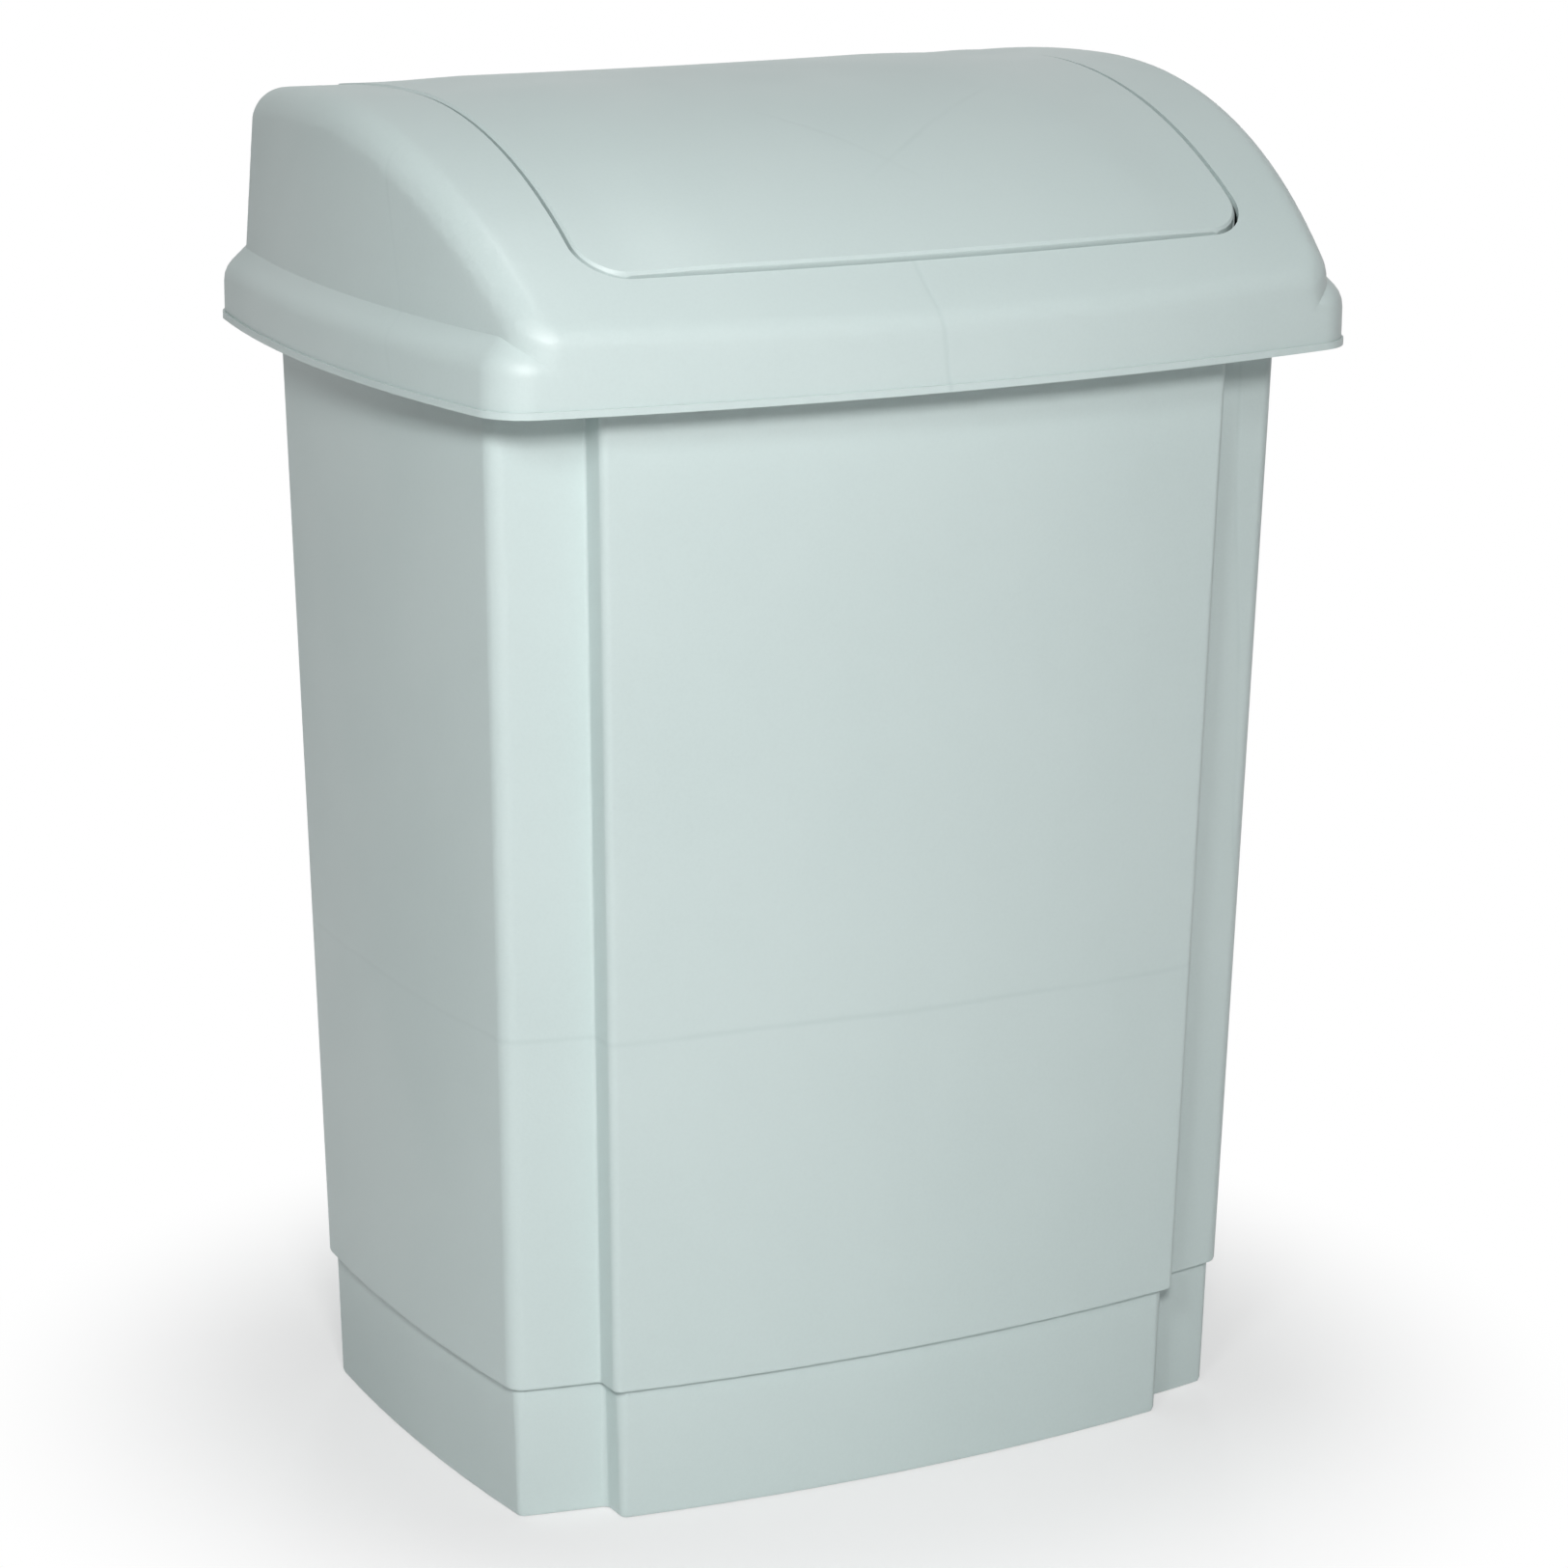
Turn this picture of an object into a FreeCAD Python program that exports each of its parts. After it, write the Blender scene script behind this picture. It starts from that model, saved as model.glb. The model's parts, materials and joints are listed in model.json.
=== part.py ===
import FreeCAD, Part
import collections
import math
import operator
import os
import Sketcher

# Swing-lid waste bin in three mouldings: a tapered tub, a lift-off hood and a flap that swings in it.
# Millimetres, +Z up, front towards -Y, origin under the middle of the tub on the floor.

SIZES = (
    ("tub_height", 402.0, "floor to the top of the rim"),
    ("skirt_width", 340.0, "hood's skirt, left to right"),
    ("skirt_depth", 264.0, "hood's skirt, front to back"),
    ("skirt_end_bow", 18.3, "rise of the skirt's front and back arcs"),
    ("skirt_side_bow", 15.6, "rise of the arcs at the skirt's ends"),
    ("skirt_corner_radius", 18.0, "upright corners of the skirt"),
    ("skirt_drop", 18.7, "skirt below the rim's top"),
    ("side_overhang", 17.15, "skirt beyond the tub's end wall at the rim"),
    ("end_overhang", 30.9, "skirt beyond the tub's front and back at the rim, without the panels"),
    ("side_taper", 9.15, "how far an end wall draws in from rim to step"),
    ("end_taper", 7.7, "how far the front and back draw in from rim to step"),
    ("plinth_height", 47.0, "floor to the step in the wall"),
    ("plinth_step", 2.6, "how far the wall overhangs the plinth"),
    ("plinth_flare", 1.4, "how much each side of the plinth widens upwards"),
    ("panel_rim_margin", 35.0, "wall beside the raised panel at the rim"),
    ("panel_foot_margin", 33.8, "wall beside the raised panel at the step"),
    ("panel_proud", 11.2, "panel ahead of the wall on the centre line"),
    ("panel_bow", 8.5, "rise of the panel's arc"),
    ("strip_bow", 14.3, "rise of the arc beside the panel"),
    ("side_bow", 4.0, "rise of the end wall's arc"),
    ("inner_corner_radius", 0.8, "upright corners inside the plinth's foot, the least of the tub's corners"),
    ("panel_root_radius", 4.0, "hollow beside the panel"),
    ("inner_edge_radius", 0.8, "panel's upright edge inside the plinth's foot, the least of its rounds"),
    ("tub_wall", 2.0, "thickness of the tub's wall"),
    ("floor_thickness", 2.5, "thickness of the tub's floor"),
    ("step_edge_radius", 1.3, "round under the step"),
    ("foot_ring_width", 18.0, "ring that the tub stands on"),
    ("foot_recess", 3.5, "hollow inside that ring"),
    ("foot_recess_corner", 22.0, "corner radius of that hollow"),
    ("rim_bevel", 1.8, "bevel that the hood's shoulder sits on"),
    ("rim_land", 0.4, "upright edge of the rim below that bevel"),
    ("rim_lip_height", 10.0, "rim's turned-down lip"),
    ("rim_clearance", 1.2, "rim to the inside of the skirt"),
    ("seat_clearance", 0.3, "rim's bevel to the inside of the shoulder"),
    ("bead_height", 2.4, "bead along the skirt's lower edge"),
    ("bead_proud", 0.7, "bead ahead of the skirt"),
    ("hood_wall", 2.2, "thickness of the hood"),
    ("shoulder_slope", 45.0, "shoulder's slope in degrees"),
    ("shoulder_radius", 10.0, "round between skirt and shoulder"),
    ("shoulder_inset", 7.5, "hood's walls inside the skirt"),
    ("wall_lean", 3.5, "lean of the hood's walls in degrees"),
    ("tower_corner_radius", 14.0, "rear upright corners above the shoulder"),
    ("crown_rise", 66.0, "top of the hood above the rim"),
    ("brow_rise", 5.0, "arch above the rim where it meets the skirt's front"),
    ("apex_setback", 14.0, "top of the arch behind the centre"),
    ("crown_radius", 500.0, "flatter arch behind the top"),
    ("arch_bow", 14.6, "rise of the plan arc that the arch follows"),
    ("crown_edge_radius", 12.0, "round between the arch and the walls"),
    ("flap_side_margin", 47.5, "skirt's end to the flap's side"),
    ("flap_front_margin", 19.0, "skirt's front to the flap's front edge"),
    ("flap_rear_margin", 26.0, "skirt's back to the flap's rear edge"),
    ("flap_front_corner", 17.0, "flap's front corners in plan"),
    ("flap_rear_corner", 6.0, "flap's rear corners in plan"),
    ("flap_proud", 1.6, "flap above the hood"),
    ("flap_wall", 2.0, "thickness of the flap"),
    ("flap_lip", 10.0, "depth of the lip round the flap"),
    ("flap_lip_wall", 1.8, "thickness of that lip"),
    ("flap_edge_bevel", 0.8, "bevel on the flap's edge"),
    ("side_gap", 1.5, "gap at the flap's sides"),
    ("end_gap", 1.3, "gap at the flap's front and rear"),
    ("pivot_ahead", 6.9, "pivot ahead of the centre"),
    ("pivot_drop", 8.0, "pivot below the top of the hood"),
    ("pin_radius", 2.6, "flap's pivot stub"),
    ("pin_length", 5.5, "stub beyond the flap's side"),
    ("pin_clearance", 0.1, "stub to its bearing"),
    ("ear_radius", 5.4, "ear that carries the stub"),
    ("ear_thickness", 2.6, "thickness of that ear"),
    ("web_depth", 9.0, "stiffening web along the hood's opening"),
    ("web_thickness", 2.2, "thickness of that web"),
    ("web_margin", 5.0, "web's ends to the corners of the flap"),
    ("lug_radius", 5.0, "bearing lug below the web"),
    ("snap_width", 4.6, "slot through which a stub snaps in"),
)

OPERATIONS = {"+": operator.add, "-": operator.sub, "*": operator.mul, "/": operator.truediv}
ORIGIN = -1
ACROSS = -1
UPRIGHT = -2
START = 1
END = 2
CENTRE = 3
ROUND_THE_BIN = 60.0
BEYOND = 30.0
FAR_BEYOND = 60.0
PAST = 5.0
NEAR = 0.02
ROUND_STEPS = 3
End = collections.namedtuple("End", "reach radius corner")


class Size:
    """A size as the text that drives it in the document, with its present value."""

    def __init__(self, text, value):
        self.text = text
        self.value = value

    def __add__(self, other):
        return combined(self, "+", other)

    def __sub__(self, other):
        return combined(self, "-", other)

    def __mul__(self, other):
        return combined(self, "*", other)

    def __truediv__(self, other):
        return combined(self, "/", other)


def as_size(value):
    """Give a plain number the form of a size."""
    return value if isinstance(value, Size) else Size(str(value), float(value))


def combined(first, sign, second):
    """Join two sizes by one sign."""
    first = as_size(first)
    second = as_size(second)
    value = OPERATIONS[sign](first.value, second.value)
    return Size("(%s %s %s)" % (first.text, sign, second.text), value)


def root(size):
    """Square root of a size."""
    return Size("sqrt(%s)" % size.text, math.sqrt(size.value))


def sine(degrees):
    """Sine of an angle in degrees."""
    degrees = as_size(degrees)
    return Size("sin(%s * 1 deg)" % degrees.text, math.sin(math.radians(degrees.value)))


def cosine(degrees):
    """Cosine of an angle in degrees."""
    degrees = as_size(degrees)
    return Size("cos(%s * 1 deg)" % degrees.text, math.cos(math.radians(degrees.value)))


def tangent(degrees):
    """Tangent of an angle in degrees."""
    return sine(degrees) / cosine(degrees)


document = FreeCAD.newDocument("swing_bin")
sheet = document.addObject("Spreadsheet::Sheet", "Sizes")
for row, (alias, number, note) in enumerate(SIZES, start=1):
    sheet.set("A%d" % row, note)
    sheet.set("B%d" % row, str(number))
    sheet.setAlias("B%d" % row, alias)
document.recompute()
NUMBERS = {alias: number for alias, number, note in SIZES}


def size(alias):
    """The size that the sheet holds under one name."""
    return Size("Sizes." + alias, NUMBERS[alias])


def arc_radius(half_chord, rise):
    """Radius of the arc with this half chord and this rise."""
    return (half_chord * half_chord + rise * rise) / (rise * 2)


# Sketches

def new_body(name):
    """A body with its own label."""
    body = document.addObject("PartDesign::Body", name)
    body.Label = name
    return body


def new_sketch(body, name, role, **offset):
    """A sketch on one of the body's own planes, moved by the given sizes."""
    sketch = body.newObject("Sketcher::SketchObject", name)
    plane = next(item for item in body.Origin.OriginFeatures if item.Role == role)
    sketch.AttachmentSupport = [(plane, "")]
    sketch.MapMode = "FlatFace"
    for axis, distance in offset.items():
        sketch.setExpression("AttachmentOffset.Base." + axis, distance.text)
    return sketch


def drive(sketch, kind, *places, to):
    """Add a dimension to the sketch and bind it to a size."""
    index = sketch.addConstraint(Sketcher.Constraint(kind, *places, to.value))
    name = "size%d" % index
    sketch.renameConstraint(index, name)
    sketch.setExpression("Constraints." + name, to.text)


def place(sketch, geometry, point, axis, distance):
    """Hold a point at a size along one axis, on the side where it lies now."""
    kind = "Distance" + axis
    if distance.value >= 0:
        drive(sketch, kind, ORIGIN, START, geometry, point, to=distance)
    else:
        drive(sketch, kind, geometry, point, ORIGIN, START, to=as_size(0) - distance)


def vector(x, y):
    """A point of a sketch."""
    return FreeCAD.Vector(x, y, 0)


def arc(centre, radius, first, last):
    """The arc that runs anticlockwise from one point to another."""
    start = math.atan2(first.y - centre.y, first.x - centre.x)
    end = math.atan2(last.y - centre.y, last.x - centre.x)
    return Part.ArcOfCircle(Part.Circle(centre, FreeCAD.Vector(0, 0, 1), radius), start, end)


def touch(centre, radius, other):
    """Point of a circle on the line towards another circle's centre."""
    return centre + (other - centre).normalize() * radius


def add_chain(sketch, steps):
    """Draw a closed chain of tangent arcs and lines, and say where each geometry went."""
    drawn = []
    for turn, centre, radius, first, last in steps:
        if turn == "straight":
            curve = Part.LineSegment(first, last)
        elif turn == "left":
            curve = arc(centre, radius, first, last)
        else:
            curve = arc(centre, radius, last, first)
        drawn.append(sketch.addGeometry(curve, False))
    for position, index in enumerate(drawn):
        follower = (position + 1) % len(drawn)
        leaving = START if steps[position][0] == "right" else END
        entering = END if steps[follower][0] == "right" else START
        sketch.addConstraint(Sketcher.Constraint("Tangent", index, leaving, drawn[follower], entering))
    return drawn


def hold_bow(sketch, geometry, axis, centre, radius):
    """Centre an arc on an axis of the bin and drive its place and radius."""
    line = ACROSS if axis == "X" else UPRIGHT
    sketch.addConstraint(Sketcher.Constraint("PointOnObject", geometry, CENTRE, line))
    place(sketch, geometry, CENTRE, axis, centre)
    drive(sketch, "Radius", geometry, to=radius)


def hold_upright(sketch, geometry, distance):
    """Keep a line upright at a size to one side of the middle."""
    sketch.addConstraint(Sketcher.Constraint("Vertical", geometry))
    place(sketch, geometry, START, "X", distance)


def corner_centre(side_centre, side_reach, end_centre, end_reach, sign_x, sign_y):
    """Centre of a corner round at the given distances from the two arcs' centres."""
    gap = end_centre - side_centre
    span = gap.Length
    along_gap = (side_reach ** 2 - end_reach ** 2 + span ** 2) / (2 * span)
    across = math.sqrt(side_reach ** 2 - along_gap ** 2)
    ahead = gap * (1 / span)
    foot = side_centre + ahead * along_gap
    normal = FreeCAD.Vector(-ahead.y, ahead.x, 0)
    choices = (foot + normal * across, foot - normal * across)
    return max(choices, key=lambda point: point.x * sign_x + point.y * sign_y)


def four_sided(sketch, half_width, front, rear, side_radius=None):
    """An outline with bowed ends, bowed or straight sides, and round corners."""
    ends = {-1: front, 1: rear}
    end_middle = {sign: vector(0, sign * (end.reach - end.radius).value) for sign, end in ends.items()}
    side_middle = {}
    if side_radius:
        side_middle = {sign: vector(sign * (half_width - side_radius).value, 0) for sign in (1, -1)}
    rounds = {}
    for sign_x in (1, -1):
        for sign_y, end in ends.items():
            reach = end.radius.value - end.corner.value
            if side_radius:
                side_reach = side_radius.value - end.corner.value
                rounds[sign_x, sign_y] = corner_centre(
                    side_middle[sign_x], side_reach, end_middle[sign_y], reach, sign_x, sign_y)
            else:
                across = half_width.value - end.corner.value
                ahead = math.sqrt(reach ** 2 - across ** 2)
                rounds[sign_x, sign_y] = vector(sign_x * across, end_middle[sign_y].y + sign_y * ahead)

    def on_side(sign_x, sign_y):
        if side_radius:
            return touch(side_middle[sign_x], side_radius.value, rounds[sign_x, sign_y])
        return vector(sign_x * half_width.value, rounds[sign_x, sign_y].y)

    def on_end(sign_x, sign_y):
        return touch(end_middle[sign_y], ends[sign_y].radius.value, rounds[sign_x, sign_y])

    steps = []
    for turn in (1, -1):
        corner = ends[turn].corner.value
        first = on_side(turn, -turn)
        last = on_side(turn, turn)
        if side_radius:
            steps.append(("left", side_middle[turn], side_radius.value, first, last))
        else:
            steps.append(("straight", None, None, first, last))
        steps.append(("left", rounds[turn, turn], corner, last, on_end(turn, turn)))
        end_radius = ends[turn].radius.value
        steps.append(("left", end_middle[turn], end_radius, on_end(turn, turn), on_end(-turn, turn)))
        steps.append(("left", rounds[-turn, turn], corner, on_end(-turn, turn), on_side(-turn, turn)))
    drawn = add_chain(sketch, steps)
    for turn, (side, first_corner, end, last_corner) in ((1, drawn[:4]), (-1, drawn[4:])):
        if side_radius:
            hold_bow(sketch, side, "X", (half_width - side_radius) * turn, side_radius)
        else:
            hold_upright(sketch, side, half_width * turn)
        hold_bow(sketch, end, "Y", (ends[turn].reach - ends[turn].radius) * turn, ends[turn].radius)
        drive(sketch, "Radius", first_corner, to=ends[turn].corner)
        drive(sketch, "Radius", last_corner, to=ends[turn].corner)


def wall_half_width(level):
    """Half the tub's width at the rim or at the foot of the wall."""
    at_rim = size("skirt_width") / 2 - size("side_overhang")
    return at_rim if level == "rim" else at_rim - size("side_taper")


def wall_half_depth(level):
    """Half the tub's depth without the panels, at the rim or at the foot of the wall."""
    at_rim = size("skirt_depth") / 2 - size("end_overhang")
    return at_rim if level == "rim" else at_rim - size("end_taper")


def tub_outline(sketch, level, inset):
    """The tub's outline with its front and back panels, at the wall's foot or at the rim."""
    half_width = wall_half_width(level)
    half_depth = wall_half_depth(level)
    panel = half_width - size("panel_%s_margin" % level)
    side_radius = arc_radius(half_depth - size("strip_bow"), size("side_bow")) - inset
    strip_radius = arc_radius(half_width - size("side_bow"), size("strip_bow")) - inset
    panel_radius = arc_radius(panel, size("panel_bow")) - inset
    deepest = size("plinth_step") + size("plinth_flare") + size("tub_wall")
    corner = size("inner_corner_radius") + deepest - inset
    hollow = size("panel_root_radius") + inset
    edge = size("inner_edge_radius") + deepest - inset
    side_centre = half_width - inset - side_radius
    strip_centre = half_depth - inset - strip_radius
    panel_centre = half_depth + size("panel_proud") - inset - panel_radius
    panel = panel - inset

    side = vector(side_centre.value, 0)
    strip = vector(0, strip_centre.value)
    face = vector(0, panel_centre.value)
    corner_at = corner_centre(
        side, side_radius.value - corner.value, strip, strip_radius.value - corner.value, 1, 1)
    hollow_x = panel.value + hollow.value
    hollow_y = strip.y + math.sqrt((strip_radius.value + hollow.value) ** 2 - hollow_x ** 2)
    hollow_at = vector(hollow_x, hollow_y)
    edge_x = panel.value - edge.value
    edge_y = face.y + math.sqrt((panel_radius.value - edge.value) ** 2 - edge_x ** 2)
    edge_at = vector(edge_x, edge_y)
    joints = [
        touch(side, side_radius.value, corner_at),
        touch(strip, strip_radius.value, corner_at),
        touch(strip, strip_radius.value, hollow_at),
        vector(panel.value, hollow_at.y),
        vector(panel.value, edge_at.y),
        touch(face, panel_radius.value, edge_at),
    ]
    quarter = [
        ("left", corner_at, corner.value, joints[0], joints[1]),
        ("left", strip, strip_radius.value, joints[1], joints[2]),
        ("right", hollow_at, hollow.value, joints[2], joints[3]),
        ("straight", None, None, joints[3], joints[4]),
        ("left", edge_at, edge.value, joints[4], joints[5]),
    ]

    def turned(step, sign_x, sign_y, backwards):
        """A step of the first quarter, mirrored into another quarter."""
        turn, centre, radius, first, last = step
        moved = [None if point is None else vector(point.x * sign_x, point.y * sign_y)
                 for point in (centre, first, last)]
        if backwards:
            moved[1], moved[2] = moved[2], moved[1]
        return turn, moved[0], radius, moved[1], moved[2]

    steps = []
    for sign in (1, -1):
        first = vector(joints[0].x * sign, -joints[0].y * sign)
        last = vector(joints[0].x * sign, joints[0].y * sign)
        steps.append(("left", side * sign, side_radius.value, first, last))
        steps += [turned(step, sign, sign, False) for step in quarter]
        first = vector(joints[5].x * sign, joints[5].y * sign)
        last = vector(-joints[5].x * sign, joints[5].y * sign)
        steps.append(("left", face * sign, panel_radius.value, first, last))
        steps += [turned(step, -sign, sign, True) for step in reversed(quarter)]
    drawn = add_chain(sketch, steps)
    half = len(drawn) // 2
    for sign, chain in ((1, drawn[:half]), (-1, drawn[half:])):
        hold_bow(sketch, chain[0], "X", side_centre * sign, side_radius)
        hold_bow(sketch, chain[6], "Y", panel_centre * sign, panel_radius)
        for offset in (2, 10):
            hold_bow(sketch, chain[offset], "Y", strip_centre * sign, strip_radius)
        for offset, radius in ((1, corner), (11, corner), (3, hollow), (9, hollow), (5, edge), (7, edge)):
            drive(sketch, "Radius", chain[offset], to=radius)
        for offset, side_sign in ((4, sign), (8, -sign)):
            hold_upright(sketch, chain[offset], panel * side_sign)


# Features

def loft(body, name, sketches, cut=False):
    """Fill or cut the space between sketches with straight rulings."""
    kind = "PartDesign::SubtractiveLoft" if cut else "PartDesign::AdditiveLoft"
    feature = body.newObject(kind, name)
    feature.Profile = (sketches[0], [""])
    feature.Sections = [(sketch, [""]) for sketch in sketches[1:]]
    feature.Ruled = True
    return feature


def pad(body, name, sketch, length):
    """Raise a sketch by a size along its own normal."""
    feature = body.newObject("PartDesign::Pad", name)
    feature.Profile = (sketch, [""])
    feature.setExpression("Length", length.text)
    return feature


def pocket(body, name, sketch, length):
    """Cut a sketch by a size along its own normal."""
    feature = body.newObject("PartDesign::Pocket", name)
    feature.Profile = (sketch, [""])
    feature.Reversed = True
    feature.setExpression("Length", length.text)
    return feature


def edge_treatment(kind, body, name, amount, chosen):
    """Round or bevel the edges of the body's last feature that a test picks."""
    document.recompute()
    base = body.Tip
    names = ["Edge%d" % number for number, edge in enumerate(base.Shape.Edges, start=1) if chosen(edge)]
    feature = body.newObject("PartDesign::" + kind, name)
    feature.Base = (base, names)
    feature.setExpression("Radius" if kind == "Fillet" else "Size", amount.text)
    return feature


def all_points(edge, test):
    """Whether points along the whole edge pass a test."""
    return all(test(point) for point in edge.discretize(5))


def boolean(kind, name, base, tool):
    """Join two shapes by a boolean."""
    feature = document.addObject("Part::" + kind, name)
    feature.Base = base
    feature.Tool = tool
    return feature


def fused(name, shapes):
    """Several shapes as one."""
    feature = document.addObject("Part::MultiFuse", name)
    feature.Shapes = shapes
    return feature


def round_steps(radius, turn, count=ROUND_STEPS):
    """Inset and rise along a round that leaves an upright wall and turns by some degrees."""
    angles = [turn * step / count for step in range(count + 1)]
    return [(radius - radius * cosine(angle), radius * sine(angle)) for angle in angles]


# Tub

def skirt_outline(sketch, inset):
    """The skirt's outline, drawn in evenly all round."""
    half_width = size("skirt_width") / 2
    half_depth = size("skirt_depth") / 2
    side_radius = arc_radius(half_depth, size("skirt_side_bow")) - inset
    end_radius = arc_radius(half_width, size("skirt_end_bow")) - inset
    end = End(half_depth - inset, end_radius, size("skirt_corner_radius") - inset)
    four_sided(sketch, half_width - inset, end, end, side_radius)


def rim_inset():
    """The rim's edge inside the outside of the skirt."""
    return size("hood_wall") + size("rim_clearance")


def rim_fall():
    """Height of the rim's bevel, which has the shoulder's slope."""
    return size("rim_bevel") * tangent(size("shoulder_slope"))


def recess_outline(sketch, growth):
    """The hollow under the floor, or the raised floor above it."""
    inward = size("plinth_step") + size("plinth_flare") + size("foot_ring_width") - growth
    half_width = wall_half_width("foot") - inward
    half_depth = wall_half_depth("foot") - inward
    side_radius = arc_radius(half_depth - size("strip_bow"), size("side_bow"))
    end_radius = arc_radius(half_width - size("side_bow"), size("strip_bow"))
    end = End(half_depth, end_radius, size("foot_recess_corner") + growth)
    four_sided(sketch, half_width, end, end, side_radius)


def make_tub():
    """The tub: plinth, tapered wall with raised panels, turned-over rim and a floor on a foot ring."""
    body = new_body("tub")
    wall = size("tub_wall")
    step_height = size("plinth_height")
    top = size("tub_height")
    foot_inset = size("plinth_step") + size("plinth_flare")

    def outline(name, level, inset, height):
        sketch = new_sketch(body, name, "XY_Plane", z=height)
        tub_outline(sketch, level, inset)
        return sketch

    def foot_rounds(name, inset, height, radius):
        """Outlines up a round at the foot of a wall, from its lowest."""
        levels = reversed(round_steps(radius, as_size(90), 2))
        return [outline("%s%d" % (name, number), "foot", inset + inward, height + radius - fall)
                for number, (inward, fall) in enumerate(levels, start=1)]

    plinth_foot = foot_rounds("FootRound", foot_inset, as_size(0), wall)
    plinth_top = outline("PlinthTop", "foot", size("plinth_step"), step_height + wall / 2)
    loft(body, "Plinth", plinth_foot + [plinth_top])
    wall_foot = foot_rounds("StepRound", as_size(0), step_height, size("step_edge_radius"))
    loft(body, "Wall", wall_foot + [outline("WallRim", "rim", as_size(0), top)])

    def ring(name, inset, height):
        sketch = new_sketch(body, name, "XY_Plane", z=height)
        skirt_outline(sketch, rim_inset() + inset)
        return sketch

    flange = [
        ring("FlangeUnderside", as_size(0), top - rim_fall() - size("rim_land")),
        ring("FlangeEdge", as_size(0), top - rim_fall()),
        ring("FlangeTop", size("rim_bevel"), top),
    ]
    loft(body, "Flange", flange)
    lip = ring("Lip", as_size(0), top - size("rim_lip_height"))
    skirt_outline(lip, rim_inset() + wall)
    pad(body, "LipRing", lip, size("rim_lip_height") - rim_fall())

    plinth_hollow = [
        outline("PlinthHollowFoot", "foot", foot_inset + wall, size("floor_thickness")),
        outline("PlinthHollowTop", "foot", size("plinth_step") + wall, step_height + wall),
    ]
    loft(body, "PlinthHollow", plinth_hollow, cut=True)
    wall_hollow = [
        outline("WallHollowFoot", "foot", wall, step_height + wall),
        outline("WallHollowRim", "rim", wall, top),
    ]
    loft(body, "WallHollow", wall_hollow, cut=True)

    raised = new_sketch(body, "RaisedFloorOutline", "XY_Plane", z=size("floor_thickness"))
    recess_outline(raised, size("floor_thickness"))
    pad(body, "RaisedFloor", raised, size("foot_recess"))
    recess = new_sketch(body, "RecessOutline", "XY_Plane")
    recess_outline(recess, as_size(0))
    pocket(body, "Recess", recess, size("foot_recess"))
    return body


# Hood

def skirt_foot():
    """Height of the skirt's lower edge."""
    return size("tub_height") - size("skirt_drop")


def crown_height():
    """Height of the top of the hood."""
    return size("tub_height") + size("crown_rise")


def shoulder_height():
    """Height of the sharp edge between skirt and shoulder, from the seat on the rim's bevel."""
    slope = size("shoulder_slope")
    inward = rim_inset() + size("rim_bevel")
    stand_off = size("hood_wall") + size("seat_clearance")
    return size("tub_height") - inward * tangent(slope) + stand_off / cosine(slope)


def tower_outline(sketch, inset, front_inset):
    """The outline above the shoulder: drawn in at the ends and back, flush with the skirt in front."""
    half_width = size("skirt_width") / 2
    half_depth = size("skirt_depth") / 2
    end_radius = arc_radius(half_width, size("skirt_end_bow"))
    side_radius = arc_radius(half_depth, size("skirt_side_bow")) - inset
    front_corner = size("skirt_corner_radius") - front_inset
    rear_corner = size("tower_corner_radius") - front_inset
    front = End(half_depth - front_inset, end_radius - front_inset, front_corner)
    rear = End(half_depth - inset, end_radius - inset, rear_corner)
    four_sided(sketch, half_width - inset, front, rear, side_radius)


def arch_axis():
    """Distance behind the centre of the upright axis round which the arch is turned."""
    return arc_radius(size("skirt_width") / 2, size("arch_bow")) - size("skirt_depth") / 2


def arch_radius():
    """Radius of the arch's front, from the skirt's front to the apex."""
    run = size("skirt_depth") / 2 + size("apex_setback")
    return arc_radius(run, size("crown_rise") - size("brow_rise"))


def add_arch(sketch, offset, apex, front, rear):
    """Draw the arch from front to rear: a round front arc and a flatter rear arc that meet at the apex."""
    front_radius = arch_radius() + offset
    rear_radius = size("crown_radius") + offset
    front_centre = crown_height() - arch_radius()
    rear_centre = crown_height() - size("crown_radius")
    front_middle = vector(apex.value, front_centre.value)
    rear_middle = vector(apex.value, rear_centre.value)
    front_rise = math.sqrt(front_radius.value ** 2 - (front.value - apex.value) ** 2)
    rear_rise = math.sqrt(rear_radius.value ** 2 - (rear.value - apex.value) ** 2)
    front_end = vector(front.value, front_middle.y + front_rise)
    rear_end = vector(rear.value, rear_middle.y + rear_rise)
    peak = vector(apex.value, front_middle.y + front_radius.value)
    front_arc = sketch.addGeometry(arc(front_middle, front_radius.value, peak, front_end), False)
    rear_arc = sketch.addGeometry(arc(rear_middle, rear_radius.value, rear_end, peak), False)
    sketch.addConstraint(Sketcher.Constraint("Tangent", rear_arc, END, front_arc, START))
    place(sketch, front_arc, CENTRE, "X", apex)
    place(sketch, front_arc, CENTRE, "Y", front_centre)
    drive(sketch, "Radius", front_arc, to=front_radius)
    place(sketch, rear_arc, CENTRE, "X", apex)
    drive(sketch, "Radius", rear_arc, to=rear_radius)
    place(sketch, front_arc, END, "X", front)
    place(sketch, rear_arc, START, "X", rear)
    return front_arc, rear_arc, front_end, rear_end


def join(sketch, first, first_point, second, second_point):
    """Make two ends meet."""
    sketch.addConstraint(Sketcher.Constraint("Coincident", first, first_point, second, second_point))


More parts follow.
